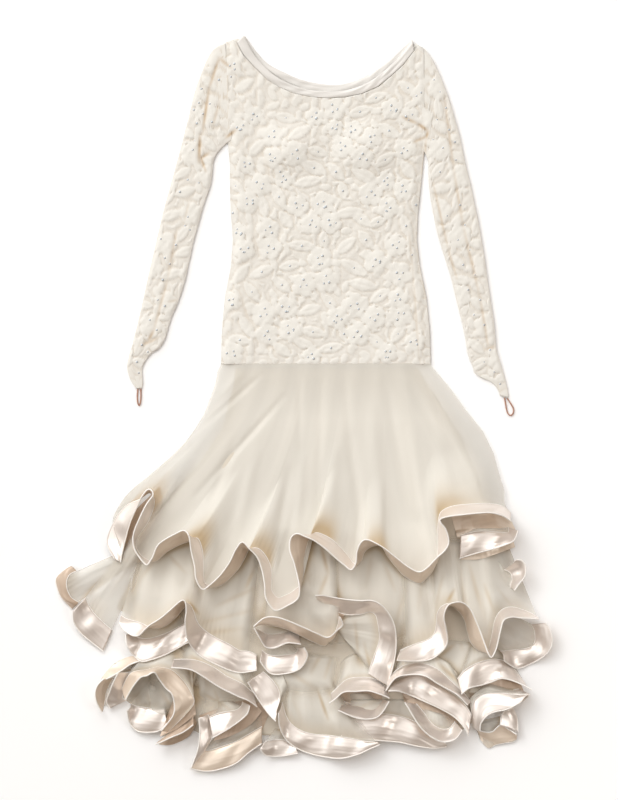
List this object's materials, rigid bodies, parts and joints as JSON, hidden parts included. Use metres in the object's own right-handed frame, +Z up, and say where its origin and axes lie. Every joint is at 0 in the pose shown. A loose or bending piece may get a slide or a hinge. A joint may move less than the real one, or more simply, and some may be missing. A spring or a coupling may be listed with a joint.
{
  "type": "ballroom dress",
  "caption": "Long-sleeved dance dress of raised floral cloth with a dropped waist and a chiffon skirt in tiers of wavy satin-edged flounces, laid flat.",
  "frame": {"origin": "middle of the bounding box, on the surface that the dress lies on", "axes": "+Y from the hem towards the neck, +X towards the sleeve on the right of the picture, +Z up from the surface"},
  "size_m": [0.893, 1.3232, 0.0827],
  "materials": {
    "raised_cloth": "matte",
    "satin": "satin",
    "chiffon": "matte",
    "elastic": "matte"
  },
  "bodies": {
    "root": {"bodice_back": "raised_cloth", "bodice_front": "raised_cloth", "finger_loop_left": "elastic", "finger_loop_right": "elastic", "first_band": "satin", "first_lip_band": "satin", "neck_band_back": "satin", "neck_band_front": "satin", "second_centre_band": "satin", "second_centre_flounce": "chiffon", "second_centre_left_band": "satin", "second_centre_left_flounce": "chiffon", "second_centre_lip_band": "satin", "second_far_left_band": "satin", "second_far_left_flounce": "chiffon", "second_fold_band": "satin", "second_fold_flounce": "chiffon", "second_left_band": "satin", "second_left_flounce": "chiffon", "second_lower_left_band": "satin", "second_right_band": "satin", "second_right_flounce": "chiffon", "second_right_lip_band": "satin", "skirt_upper": "chiffon", "sleeve_left": "raised_cloth", "sleeve_right": "raised_cloth", "third_bottom_left_band": "satin", "third_centre_band": "satin", "third_centre_flounce": "chiffon", "third_diagonal_band": "satin", "third_diagonal_flounce": "chiffon", "third_diagonal_lip_band": "satin", "third_far_left_band": "satin", "third_leaf_band": "satin", "third_left_band": "satin", "third_left_flounce": "chiffon", "third_long_band": "satin", "third_oval_band": "satin", "third_oval_flounce": "chiffon", "third_oval_lip_band": "satin", "third_right_end_band": "satin", "third_right_lip_band": "satin", "third_right_upper_band": "satin", "third_right_upper_flounce": "chiffon", "third_ring_band": "satin", "third_ring_flounce": "chiffon", "third_ring_lip_band": "satin", "third_under_ring_band": "satin", "third_wave_band": "satin", "third_wave_flounce": "chiffon", "third_wave_lip_band": "satin", "under_layers": "chiffon"}
  },
  "joints": []
}
